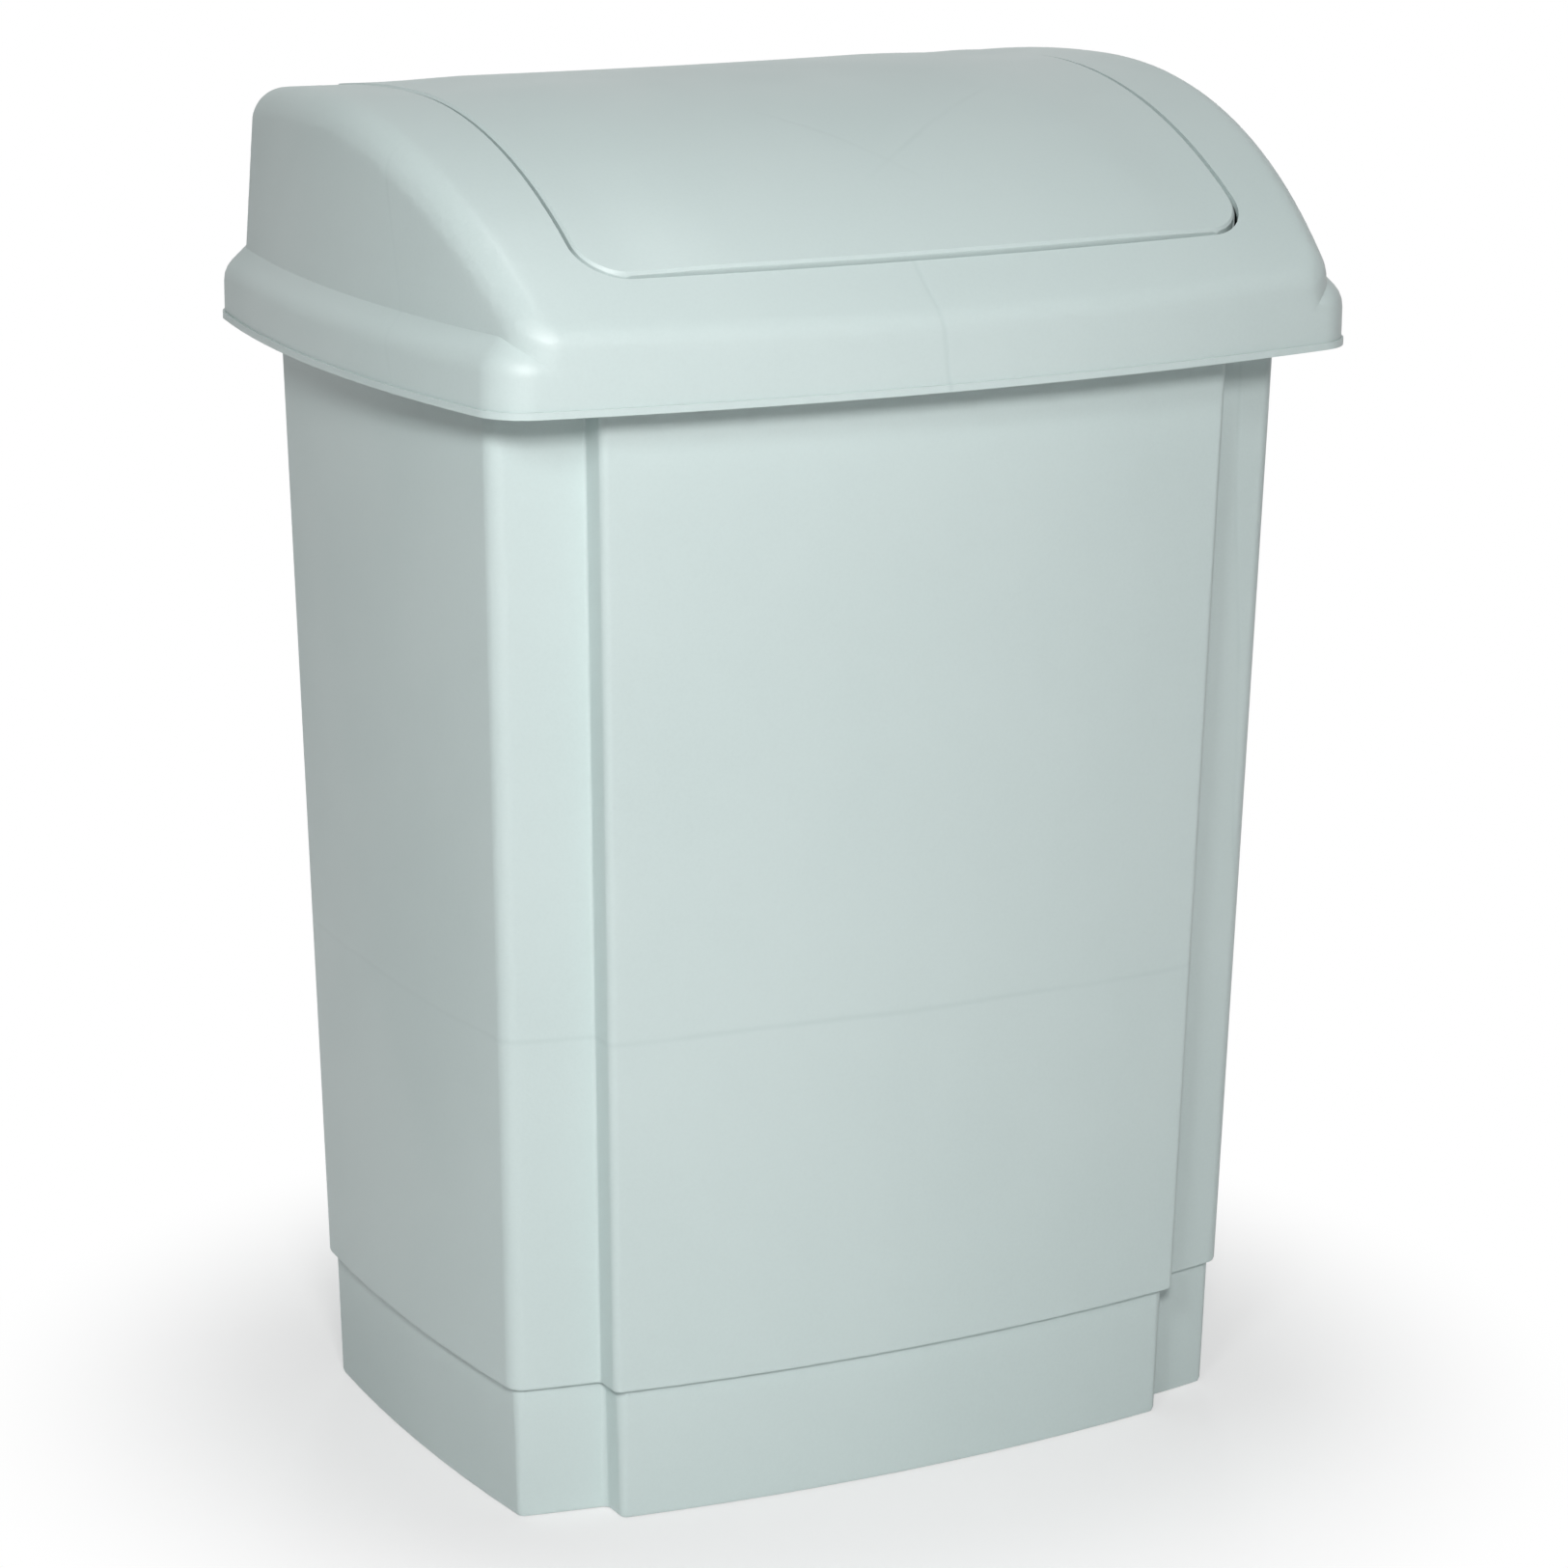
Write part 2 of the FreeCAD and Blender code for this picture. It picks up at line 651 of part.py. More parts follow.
def cut_by_arch(body, name, offset, above):
    """Cut away the space above or below the arch, turned round its upright axis."""
    sketch = new_sketch(body, name + "Region", "YZ_Plane", x=arch_axis())
    reach = size("skirt_depth") / 2 + size("flap_proud") + PAST
    apex = size("apex_setback") - arch_axis()
    front = as_size(0) - reach - arch_axis()
    rear = reach - arch_axis()
    close = crown_height() + FAR_BEYOND if above else skirt_foot() - FAR_BEYOND
    front_arc, rear_arc, front_end, rear_end = add_arch(sketch, offset, apex, front, rear)
    far_front = vector(front.value, close.value)
    far_rear = vector(rear.value, close.value)
    front_line = sketch.addGeometry(Part.LineSegment(front_end, far_front), False)
    close_line = sketch.addGeometry(Part.LineSegment(far_front, far_rear), False)
    rear_line = sketch.addGeometry(Part.LineSegment(far_rear, rear_end), False)
    join(sketch, front_arc, END, front_line, START)
    join(sketch, front_line, END, close_line, START)
    join(sketch, close_line, END, rear_line, START)
    join(sketch, rear_line, END, rear_arc, START)
    sketch.addConstraint(Sketcher.Constraint("Vertical", front_line))
    sketch.addConstraint(Sketcher.Constraint("Vertical", rear_line))
    sketch.addConstraint(Sketcher.Constraint("Horizontal", close_line))
    place(sketch, close_line, START, "Y", close)
    feature = body.newObject("PartDesign::Groove", name)
    feature.Profile = (sketch, [""])
    feature.ReferenceAxis = (sketch, ["V_Axis"])
    feature.Midplane = True
    feature.Angle = ROUND_THE_BIN
    return feature


def arch_border(offset):
    """A test for edges where the arch meets another surface."""
    axis = arch_axis().value
    apex = size("apex_setback").value
    height = crown_height().value

    def on_arch(point):
        along_arch = axis - math.hypot(point.x, axis - point.y) - apex
        radius = arch_radius().value if along_arch < 0 else size("crown_radius").value
        return abs(math.hypot(along_arch, point.z - height + radius) - radius - offset.value) < NEAR

    def on_apex(point):
        return abs(point.z - height - offset.value) < NEAR

    return lambda edge: all_points(edge, on_arch) and not all_points(edge, on_apex)


def make_skirt(name, shrink):
    """The skirt and shoulder as one solid; the hollow inside them has a sharp shoulder."""
    body = new_body(name + "_skirt")
    slope = size("shoulder_slope")
    edge_height = shoulder_height() + shrink * tangent(slope) - shrink / cosine(slope)
    depth = size("shoulder_inset") + size("tower_corner_radius") / 2
    levels = [(shrink, skirt_foot() - shrink)]
    if shrink.value:
        levels.append((shrink, edge_height))
    else:
        turn = as_size(90) - slope
        start = edge_height - size("shoulder_radius") * tangent(turn / 2)
        steps = round_steps(size("shoulder_radius"), turn)
        levels += [(inward, start + rise) for inward, rise in steps]
    levels.append((shrink + depth, edge_height + depth * tangent(slope)))
    sketches = []
    for number, (inset, height) in enumerate(levels, start=1):
        sketch = new_sketch(body, "%sSkirt%d" % (name, number), "XY_Plane", z=height)
        skirt_outline(sketch, inset)
        sketches.append(sketch)
    loft(body, name + "SkirtAndShoulder", sketches)
    return body, levels[1][1]


def make_dome(name, shrink):
    """The hood's solid form, or the hollow inside it when it is shrunk by the wall."""
    lean = size("wall_lean")
    skirt, low = make_skirt(name, shrink)
    tower = new_body(name + "_tower")
    base = shoulder_height() + size("shoulder_inset") * tangent(size("shoulder_slope"))
    high = crown_height() + BEYOND
    sketches = []
    for label, height in (("Foot", low), ("Top", high)):
        sketch = new_sketch(tower, name + "Tower" + label, "XY_Plane", z=height)
        inset = size("shoulder_inset") + (height - base) * tangent(lean) + shrink / cosine(lean)
        tower_outline(sketch, inset, shrink)
        sketches.append(sketch)
    loft(tower, name + "TowerWalls", sketches)
    offset = as_size(0) - shrink
    cut_by_arch(tower, name + "Arch", offset, True)
    if shrink.value:
        bevel = (size("crown_edge_radius") - shrink) * (as_size(2) - root(as_size(2)))
        edge_treatment("Chamfer", tower, name + "CrownEdge", bevel, arch_border(offset))
    else:
        edge_treatment("Fillet", tower, name + "CrownEdge", size("crown_edge_radius"), arch_border(offset))
    return boolean("Fuse", name, tower, skirt)


def make_bead():
    """The bead along the skirt's lower edge, sunk into the skirt by half the wall."""
    body = new_body("bead")
    outline = new_sketch(body, "BeadOutline", "XY_Plane", z=skirt_foot())
    skirt_outline(outline, as_size(0) - size("bead_proud"))
    skirt_outline(outline, size("hood_wall") / 2)
    pad(body, "BeadRing", outline, size("bead_height"))
    return body


def pivot_height():
    """Height of the flap's pivot."""
    return crown_height() - size("pivot_drop")


def flap_half_width():
    """Half the flap's width."""
    return size("skirt_width") / 2 - size("flap_side_margin")


def flap_front_at(height):
    """How far the flap's front edge lies ahead of the centre at one height, square to its swing."""
    edge = size("skirt_depth") / 2 - size("flap_front_margin")
    run = edge + size("apex_setback")
    edge_height = crown_height() - arch_radius() + root(arch_radius() * arch_radius() - run * run)
    slant = (pivot_height() - edge_height) / (edge - size("pivot_ahead"))
    return edge + (height - edge_height) * slant


def flap_prism(body, name, growth_side, growth_end):
    """The flap's plan, raised through the crown with its front edge square to its swing."""
    back_radius = arc_radius(size("skirt_width") / 2, size("skirt_end_bow"))
    sketches = []
    above = crown_height() + size("flap_proud") + PAST
    for label, height in (("Low", skirt_foot()), ("High", above)):
        sketch = new_sketch(body, name + label, "XY_Plane", z=height)
        ahead = flap_front_at(height) + growth_end
        front = End(ahead, arch_axis() + ahead, size("flap_front_corner") + growth_end)
        setback = size("flap_rear_margin") - growth_end
        rear_corner = size("flap_rear_corner") + growth_end
        rear = End(size("skirt_depth") / 2 - setback, back_radius - setback, rear_corner)
        four_sided(sketch, flap_half_width() + growth_side, front, rear)
        sketches.append(sketch)
    return loft(body, name, sketches)


def cross_cylinder(name, radius, start, length):
    """A cylinder along the pivot's axis, from one place to the right of the centre."""
    feature = document.addObject("Part::Cylinder", name)
    feature.Placement = FreeCAD.Placement(FreeCAD.Vector(), FreeCAD.Rotation(FreeCAD.Vector(0, 1, 0), 90))
    feature.setExpression("Radius", radius.text)
    feature.setExpression("Height", length.text)
    feature.setExpression("Placement.Base.x", start.text)
    feature.setExpression("Placement.Base.y", (as_size(0) - size("pivot_ahead")).text)
    feature.setExpression("Placement.Base.z", pivot_height().text)
    return feature


def inner_start(side, from_centre, length):
    """Where a piece of a given length starts, so that it reaches outwards on either side."""
    return from_centre if side > 0 else as_size(0) - from_centre - length


def make_web(side, word):
    """What carries one side of the flap: a web under the crown beside the opening, with a bearing lug."""
    distance = flap_half_width() + size("side_gap")
    thickness = size("web_thickness")
    start = inner_start(side, distance, thickness)
    body = new_body("web_" + word)
    sketch = new_sketch(body, "WebOutline_" + word, "YZ_Plane", z=start)
    spread = arch_axis() - size("apex_setback")
    apex = arch_axis() - root(spread * spread - distance * distance)
    half_depth = size("skirt_depth") / 2 - size("web_margin")
    front = size("flap_front_margin") + size("flap_front_corner") - half_depth
    rear = half_depth - size("flap_rear_margin") - size("flap_rear_corner")
    upper = as_size(0) - size("hood_wall") / 2
    lower = upper - size("web_depth")
    top_front, top_rear, top_front_end, top_rear_end = add_arch(sketch, upper, apex, front, rear)
    low_front, low_rear, low_front_end, low_rear_end = add_arch(sketch, lower, apex, front, rear)
    front_line = sketch.addGeometry(Part.LineSegment(top_front_end, low_front_end), False)
    rear_line = sketch.addGeometry(Part.LineSegment(low_rear_end, top_rear_end), False)
    join(sketch, front_line, START, top_front, END)
    join(sketch, front_line, END, low_front, END)
    join(sketch, rear_line, START, low_rear, START)
    join(sketch, rear_line, END, top_rear, START)
    pad(body, "Web_" + word, sketch, thickness)
    lug = cross_cylinder("lug_" + word, size("lug_radius"), start, thickness)
    return body, lug


def make_bearing(side, word):
    """A bearing's bore and the slot below it through which the stub snaps in."""
    length = size("side_gap") + size("web_thickness") + size("pin_length")
    start = inner_start(side, flap_half_width(), length)
    bore = cross_cylinder("bore_" + word, size("pin_radius") + size("pin_clearance"), start, length)
    slot = document.addObject("Part::Box", "slot_" + word)
    slot_height = size("lug_radius") * 2
    slot_front = as_size(0) - size("pivot_ahead") - size("snap_width") / 2
    slot.setExpression("Length", length.text)
    slot.setExpression("Width", size("snap_width").text)
    slot.setExpression("Height", slot_height.text)
    slot.setExpression("Placement.Base.x", start.text)
    slot.setExpression("Placement.Base.y", slot_front.text)
    slot.setExpression("Placement.Base.z", (pivot_height() - slot_height).text)
    return bore, slot


SIDES = ((1, "right"), (-1, "left"))


def make_hood():
    """The hood: a thin dome with a bead, an opening for the flap and a bearing at each side of it."""
    form = make_dome("dome", as_size(0))
    hollow = make_dome("dome_hollow", size("hood_wall"))
    shell = boolean("Cut", "hood_shell", form, hollow)
    opening = new_body("opening")
    flap_prism(opening, "OpeningPrism", size("side_gap"), size("end_gap"))
    open_shell = boolean("Cut", "open_shell", shell, opening)
    carriers = [piece for side, word in SIDES for piece in make_web(side, word)]
    joined = fused("hood_joined", [open_shell, make_bead()] + carriers)
    cuts = fused("bearing_cuts", [cut for side, word in SIDES for cut in make_bearing(side, word)])
    return boolean("Cut", "hood", joined, cuts)


# Flap

def make_flap():
    """The flap: a thin arched panel with a lip all round and a pivot stub on an ear at each side."""
    form = new_body("flap_form")
    flap_prism(form, "FlapPrism", as_size(0), as_size(0))
    cut_by_arch(form, "FlapTop", size("flap_proud"), True)
    cut_by_arch(form, "FlapUnderside", size("flap_proud") - size("flap_lip"), False)
    edge_treatment("Chamfer", form, "FlapEdge", size("flap_edge_bevel"), arch_border(size("flap_proud")))
    hollow = new_body("flap_hollow")
    inward = as_size(0) - size("flap_lip_wall")
    flap_prism(hollow, "FlapHollowPrism", inward, inward)
    cut_by_arch(hollow, "FlapHollowTop", size("flap_proud") - size("flap_wall"), True)
    pieces = [boolean("Cut", "flap_shell", form, hollow)]
    thickness = size("ear_thickness")
    inside = flap_half_width() - thickness
    length = thickness + size("pin_length")
    for side, word in SIDES:
        ear_start = inner_start(side, inside, thickness)
        stub_start = inner_start(side, inside, length)
        pieces.append(cross_cylinder("ear_" + word, size("ear_radius"), ear_start, thickness))
        pieces.append(cross_cylinder("stub_" + word, size("pin_radius"), stub_start, length))
    return fused("flap", pieces)


PIECES = (make_tub(), make_hood(), make_flap())
document.recompute()
for item in document.Objects:
    faults = [word for word in ("Invalid", "Error") if word in item.State]
    if faults:
        raise RuntimeError("%s did not build: %s" % (item.Name, faults))
for piece in PIECES:
    if piece.Shape.isNull() or not piece.Shape.isValid() or len(piece.Shape.Solids) != 1:
        raise RuntimeError("%s is not one sound solid" % piece.Label)
os.makedirs("parts", exist_ok=True)
for piece in PIECES:
    piece.Shape.exportStep("parts/%s.step" % piece.Label)
    middle = piece.Shape.Solids[0].CenterOfMass
    print("%s %.0f mm3, centre of mass %.2f %.2f %.2f" % (
        piece.Label, piece.Shape.Volume, middle.x, middle.y, middle.z))
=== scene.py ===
import json
import math
from collections import namedtuple

import bpy
from mathutils import Matrix, Vector
from mathutils.bvhtree import BVHTree

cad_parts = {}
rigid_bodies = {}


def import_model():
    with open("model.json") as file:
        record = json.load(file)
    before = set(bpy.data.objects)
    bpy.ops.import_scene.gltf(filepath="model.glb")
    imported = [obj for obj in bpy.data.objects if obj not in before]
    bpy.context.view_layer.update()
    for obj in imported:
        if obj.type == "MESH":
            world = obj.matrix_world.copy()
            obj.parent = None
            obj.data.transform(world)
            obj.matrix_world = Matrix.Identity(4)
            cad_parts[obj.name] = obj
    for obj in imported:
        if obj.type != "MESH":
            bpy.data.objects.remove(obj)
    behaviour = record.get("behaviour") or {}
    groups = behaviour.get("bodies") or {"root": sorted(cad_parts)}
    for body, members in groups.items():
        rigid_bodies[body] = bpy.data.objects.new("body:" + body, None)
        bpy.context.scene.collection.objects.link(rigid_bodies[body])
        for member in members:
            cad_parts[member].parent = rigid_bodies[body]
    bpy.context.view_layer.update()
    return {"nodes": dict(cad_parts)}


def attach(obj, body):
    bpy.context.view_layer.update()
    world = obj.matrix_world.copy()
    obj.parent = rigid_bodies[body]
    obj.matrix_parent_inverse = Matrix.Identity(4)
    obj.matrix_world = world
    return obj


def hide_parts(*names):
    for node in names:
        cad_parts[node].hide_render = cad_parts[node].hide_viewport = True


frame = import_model()

bl_info = {
    "name": "Swing-lid waste bin",
    "version": (1, 0, 0),
    "blender": (4, 5, 0),
    "location": "3D View > Sidebar > Waste bin",
    "description": "Finishes the tub, hood and flap of a moulded waste bin and sets them on a pale stage",
    "category": "Object",
}

WHITE = (1.0, 1.0, 1.0, 1.0)

# Corners of facets nearer than this are joined, in metres
WELD_DISTANCE = 0.00001
# Room at the two ends of an arc
SMALL_TURN = math.radians(1.5)
# A face of the flap belongs to its outer skin above this cosine
OUTWARD_COSINE = 0.5
# Rays start this far off the skin, in metres
OFF_THE_SKIN = 0.0002

# Frequencies of the noises in the plastic and the floor, per metre
WAVES = 16.0
LINE_WANDERS = 14.0
LINE_PATCHES = 30.0
CLOUDS = 7.0
SCUFF_PATCHES = 11.0
FLOOR_MOTTLES = 9.0
SCUFF_STRETCH = (420.0, 55.0, 60.0)
SCUFF_TURN = (0.3, 0.2, 0.5)

# The middle of a noise, and the parts of it over which a mark grows from nothing to its full strength
NOISE_MEAN = 0.5
PATCH_RANGE = (0.3, 0.6)
CLOUD_RANGE = (0.3, 0.7)
SPECKLE_RANGE = (0.25, 0.65)
SCUFF_RANGE = (0.60, 0.72)
SCUFF_PATCH_RANGE = (0.52, 0.72)
FLOOR_RANGE = (0.2, 0.8)

# Lengths in the plastic, in metres
WAVE_DEPTH = 0.0001
LINE_WANDER = 0.006
LINE_FADE = 0.02

# How strongly each mark changes the colour
PALER = 1.07
CLOUD_SHARE = 0.55
SPECKLE_SHARE = 0.16
SCUFF_SHARE = 0.10
LINE_SHARE = 0.8
LINE_LEAST = 0.45

# How much each mark changes the roughness
CLOUD_SMOOTHER = 0.03
CLOUD_ROUGHER = 0.04
GRAIN_ROUGHER = 0.12
SCUFF_ROUGHER = 0.08
LINE_SMOOTHER = 0.05
BUMP_STRENGTH = 0.5

# Stage, in metres except for the sensor, which is in millimetres
FLOOR_SIDES = 96
FLOOR_RADIUS = 6.0
FLOOR_DARKER = 0.985
FLOOR_ROUGHNESS = (0.82, 0.9)
SHADOW_NEAR = 0.14
SHADOW_FAR = 0.30
SENSOR_WIDTH = 36.0
CLIP_END = 50.0
LAMP_AIM = Vector((0.0, 0.0, 0.24))

# Each lamp's name, the properties of its power and colour, its azimuth and elevation in degrees,
# its distance and width in metres, and whether it shows in reflections
LAMPS = (
    ("KeyLamp", "key_power", "key_colour", -25.0, 24.0, 1.7, 0.22, True),
    ("LeftLamp", "left_power", "fill_colour", -42.0, 30.0, 1.7, 0.25, True),
    ("TopLamp", "top_power", "fill_colour", 0.0, 88.0, 1.7, 0.35, True),
    ("BackLamp", "back_power", "fill_colour", 152.0, 1.0, 2.6, 0.4, False),
)

# Flow lines: the direction and offset that place a line, the direction that it runs in, and its two ends
TUB_LINES = (
    {"Across": (0.016, 0.0, 1.0), "Offset": 0.169,
     "Along": (1.0, 0.0, 0.0), "From": -0.15, "To": 0.10},
    {"Across": (1.0, 0.0, 0.045), "Offset": 0.148,
     "Along": (0.0, 0.0, 1.0), "From": 0.20, "To": 0.37},
)
HOOD_LINES = (
    {"Across": (1.0, 0.0, 0.085), "Offset": 0.0254,
     "Along": (0.0, 0.0, 1.0), "From": 0.37, "To": 0.425},
    {"Across": (0.0, 1.0, -0.32), "Offset": -0.1773,
     "Along": (0.0, 0.0, 1.0), "From": 0.38, "To": 0.445},
)
FLAP_LINES = (
    {"Across": (-0.782, -0.623, 0.0), "Offset": 0.0447,
     "Along": (-0.623, 0.782, 0.0), "From": -0.0586, "To": -0.0248},
    {"Across": (-0.588, 0.809, 0.0), "Offset": -0.0604,
     "Along": (0.809, 0.588, 0.0), "From": -0.0421, "To": 0.0285},
)

# An upright round of the tub: the middle of its arcs at the wall's foot and top, in plan, the side of that
# middle on which the arcs lie, how far they turn, their least and most radius, and the share that is kept
Round = namedtuple("Round", "foot top side turn least most share")
# A hollow's arcs lie towards the axis of the tub, and an edge's away from it
HOLLOW_SIDE = -1.0
EDGE_SIDE = 1.0


# Properties

class BinFinish(bpy.types.PropertyGroup):
    """Colour and surface of the moulded plastic."""

    colour: bpy.props.FloatVectorProperty(
        name="Colour", description="Base colour of the plastic, in linear light",
        subtype="COLOR", size=3, min=0.0, max=1.0, default=(0.572, 0.664, 0.653))
    shade: bpy.props.FloatVectorProperty(
        name="Shade", description="Colour of the darker clouds in the plastic",
        subtype="COLOR", size=3, min=0.0, max=1.0, default=(0.527, 0.622, 0.611))
    roughness: bpy.props.FloatProperty(
        name="Roughness", description="Mean roughness of the satin surface",
        subtype="FACTOR", min=0.0, max=1.0, default=0.42)
    gloss_index: bpy.props.FloatProperty(
        name="Gloss", description="Refractive index of the plastic, which sets its white sheen",
        min=1.0, max=3.0, default=1.54)
    grain_size: bpy.props.FloatProperty(
        name="Grain size", description="Width of one grain of the mould's matt texture",
        unit="LENGTH", default=0.0011)
    grain_depth: bpy.props.FloatProperty(
        name="Grain depth", description="Height of that grain",
        unit="LENGTH", default=0.00005)
    weld_width: bpy.props.FloatProperty(
        name="Flow line width", description="Width of the faint lines where the plastic met in the mould",
        unit="LENGTH", default=0.0016)
    weld_depth: bpy.props.FloatProperty(
        name="Flow line depth", description="Depth of those lines, and the step between their two sides",
        unit="LENGTH", default=0.00010)
    smooth_angle: bpy.props.FloatProperty(
        name="Smooth angle", description="Edges flatter than this are shaded as one surface",
        subtype="ANGLE", default=math.radians(24.0))


class BinTub(bpy.types.PropertyGroup):
    """The hollows beside the tub's front and back panels, and the panels' upright edges."""

    wall_foot: bpy.props.FloatProperty(
        name="Wall's foot", description="Height of the foot of the tapered wall",
        unit="LENGTH", default=0.0483)
    wall_top: bpy.props.FloatProperty(
        name="Wall's top", description="Height of the rim",
        unit="LENGTH", default=0.402)
    hollow_share: bpy.props.FloatProperty(
        name="Hollow", description="Radius of the hollows as a share of the radius in the solid",
        subtype="FACTOR", min=0.05, max=1.0, default=0.3)
    hollow_foot: bpy.props.FloatVectorProperty(
        name="Hollow at the foot", description="Middle of a hollow's arcs at the wall's foot, in plan",
        subtype="XYZ", size=2, default=(0.1139, 0.08798))
    hollow_top: bpy.props.FloatVectorProperty(
        name="Hollow at the top", description="Middle of a hollow's arcs at the wall's top, in plan",
        subtype="XYZ", size=2, default=(0.12185, 0.0956))
    hollow_least: bpy.props.FloatProperty(
        name="Hollow's least radius", description="No arc of a hollow is smaller than this",
        unit="LENGTH", default=0.0039)
    hollow_most: bpy.props.FloatProperty(
        name="Hollow's most radius", description="No arc of a hollow is larger than this",
        unit="LENGTH", default=0.0106)
    strip_turn: bpy.props.FloatProperty(
        name="Strip turn", description="Lean of the strip beside the hollow, in plan",
        subtype="ANGLE", default=math.radians(9.3))
    edge_share: bpy.props.FloatProperty(
        name="Edge", description="Radius of the panels' upright edges as a share of the radius in the solid",
        subtype="FACTOR", min=0.05, max=1.0, default=0.45)
    edge_foot: bpy.props.FloatVectorProperty(
        name="Edge at the foot", description="Middle of an edge's arcs at the wall's foot, in plan",
        subtype="XYZ", size=2, default=(0.1031, 0.09025))
    edge_top: bpy.props.FloatVectorProperty(
        name="Edge at the top", description="Middle of an edge's arcs at the wall's top, in plan",
        subtype="XYZ", size=2, default=(0.11105, 0.09789))
    edge_least: bpy.props.FloatProperty(
        name="Edge's least radius", description="Smaller arcs, which are the plinth's, keep their shape",
        unit="LENGTH", default=0.0043)
    edge_most: bpy.props.FloatProperty(
        name="Edge's most radius", description="No arc of an edge is larger than this",
        unit="LENGTH", default=0.0071)
    edge_turn: bpy.props.FloatProperty(
        name="Edge turn", description="How far an edge's arcs turn, in plan",
        subtype="ANGLE", default=math.radians(81.9))


class BinFlap(bpy.types.PropertyGroup):
    """How the flap's sides settle into the hood."""

    side_drop: bpy.props.FloatProperty(
        name="Side drop", description="How far the flap's sides lie below its middle",
        unit="LENGTH", default=0.0012)
    side_start: bpy.props.FloatProperty(
        name="Side start", description="Distance from the middle at which the drop begins",
        unit="LENGTH", default=0.075)
    side_run: bpy.props.FloatProperty(
        name="Side run", description="Width over which the drop grows to its full depth",
        unit="LENGTH", default=0.036)
    arch_middle: bpy.props.FloatProperty(
        name="Arch middle", description="Height of the middle of the flap's arch",
        unit="LENGTH", default=0.30)
    pivot_place: bpy.props.FloatVectorProperty(
        name="Pivot", description="Point on the line of the two pivot stubs",
        subtype="TRANSLATION", size=3, default=(0.0, -0.0069, 0.460))
    stub_room: bpy.props.FloatProperty(
        name="Stub room", description="Radius round the pivot that keeps its shape",
        unit="LENGTH", default=0.0065)


class BinStage(bpy.types.PropertyGroup):
    """Camera, floor and lamps."""

    camera_place: bpy.props.FloatVectorProperty(
        name="Camera", description="Place of the camera",
        subtype="TRANSLATION", size=3, default=(-0.79179, -1.48652, 0.66226))
    camera_aim: bpy.props.FloatVectorProperty(
        name="Aim", description="Point that the camera looks at",
        subtype="TRANSLATION", size=3, default=(0.00402, 0.0, 0.22167))
    camera_roll: bpy.props.FloatProperty(
        name="Roll", description="Turn of the camera about its own axis",
        subtype="ANGLE", default=math.radians(0.31))
    lens: bpy.props.FloatProperty(
        name="Lens", description="Focal length in millimetres",
        unit="CAMERA", default=113.81)
    key_power: bpy.props.FloatProperty(
        name="Key lamp", description="Power of the lamp beside the camera",
        subtype="POWER", default=16.3)
    left_power: bpy.props.FloatProperty(
        name="Left lamp", description="Power of the lamp on the left",
        subtype="POWER", default=6.2)
    top_power: bpy.props.FloatProperty(
        name="Top lamp", description="Power of the lamp above",
        subtype="POWER", default=5.4)
    back_power: bpy.props.FloatProperty(
        name="Back lamp", description="Power of the lamp behind the bin",
        subtype="POWER", default=30.0)
    key_colour: bpy.props.FloatVectorProperty(
        name="Key colour", description="Colour of the key lamp, a little warm",
        subtype="COLOR", size=3, min=0.0, max=1.0, default=(1.0, 0.98, 0.98))
    fill_colour: bpy.props.FloatVectorProperty(
        name="Fill colour", description="Colour of the other lamps, a little cool",
        subtype="COLOR", size=3, min=0.0, max=1.0, default=(0.95, 1.0, 1.0))
    ambient: bpy.props.FloatProperty(
        name="Ambient light", description="Strength of the even light of the room",
        min=0.0, default=0.01)
    floor_white: bpy.props.FloatProperty(
        name="Floor white", description="Share of plain white in the floor beside the bin, against its shadow",
        subtype="FACTOR", min=0.0, max=1.0, default=0.5)
    floor_colour: bpy.props.FloatVectorProperty(
        name="Floor", description="Colour of the floor",
        subtype="COLOR", size=3, min=0.0, max=1.0, default=(0.86, 0.86, 0.86))


# Node helpers

def group_socket(group, name, kind, default=None, out=False):
    """Add one named socket to a node group."""
    socket = group.interface.new_socket(
        name=name, in_out="OUTPUT" if out else "INPUT", socket_type="NodeSocket" + kind)
    if default is not None:
        socket.default_value = default


class Nodes:
    """Short words for placing and joining nodes of one tree."""

    def __init__(self, tree):
        self.tree = tree

    def add(self, kind, **settings):
        node = self.tree.nodes.new(kind)
        for name, value in settings.items():
            setattr(node, name, value)
        return node

    def feed(self, socket, value):
        if isinstance(value, bpy.types.NodeSocket):
            self.tree.links.new(value, socket)
        else:
            socket.default_value = value

    def math(self, operation, *values, clamp=False):
        node = self.add("ShaderNodeMath", operation=operation, use_clamp=clamp)
        for socket, value in zip(node.inputs, values):
            self.feed(socket, value)
        return node.outputs[0]

    def ramp(self, value, low, high, to_low=0.0, to_high=1.0):
        node = self.add("ShaderNodeMapRange", interpolation_type="SMOOTHSTEP")
        for name, item in (("Value", value), ("From Min", low), ("From Max", high),
                           ("To Min", to_low), ("To Max", to_high)):
            self.feed(node.inputs[name], item)
        return node.outputs["Result"]

    def noise(self, place, scale, detail=2.0, roughness=0.5):
        node = self.add("ShaderNodeTexNoise")
        self.feed(node.inputs["Vector"], place)
        self.feed(node.inputs["Scale"], scale)
        node.inputs["Detail"].default_value = detail
        node.inputs["Roughness"].default_value = roughness
        return node.outputs["Fac"]

    def mix(self, share, first, second):
        node = self.add("ShaderNodeMix", data_type="RGBA")
        self.feed(node.inputs["Factor"], share)
        self.feed(node.inputs["A"], first)
        self.feed(node.inputs["B"], second)
        return node.outputs["Result"]


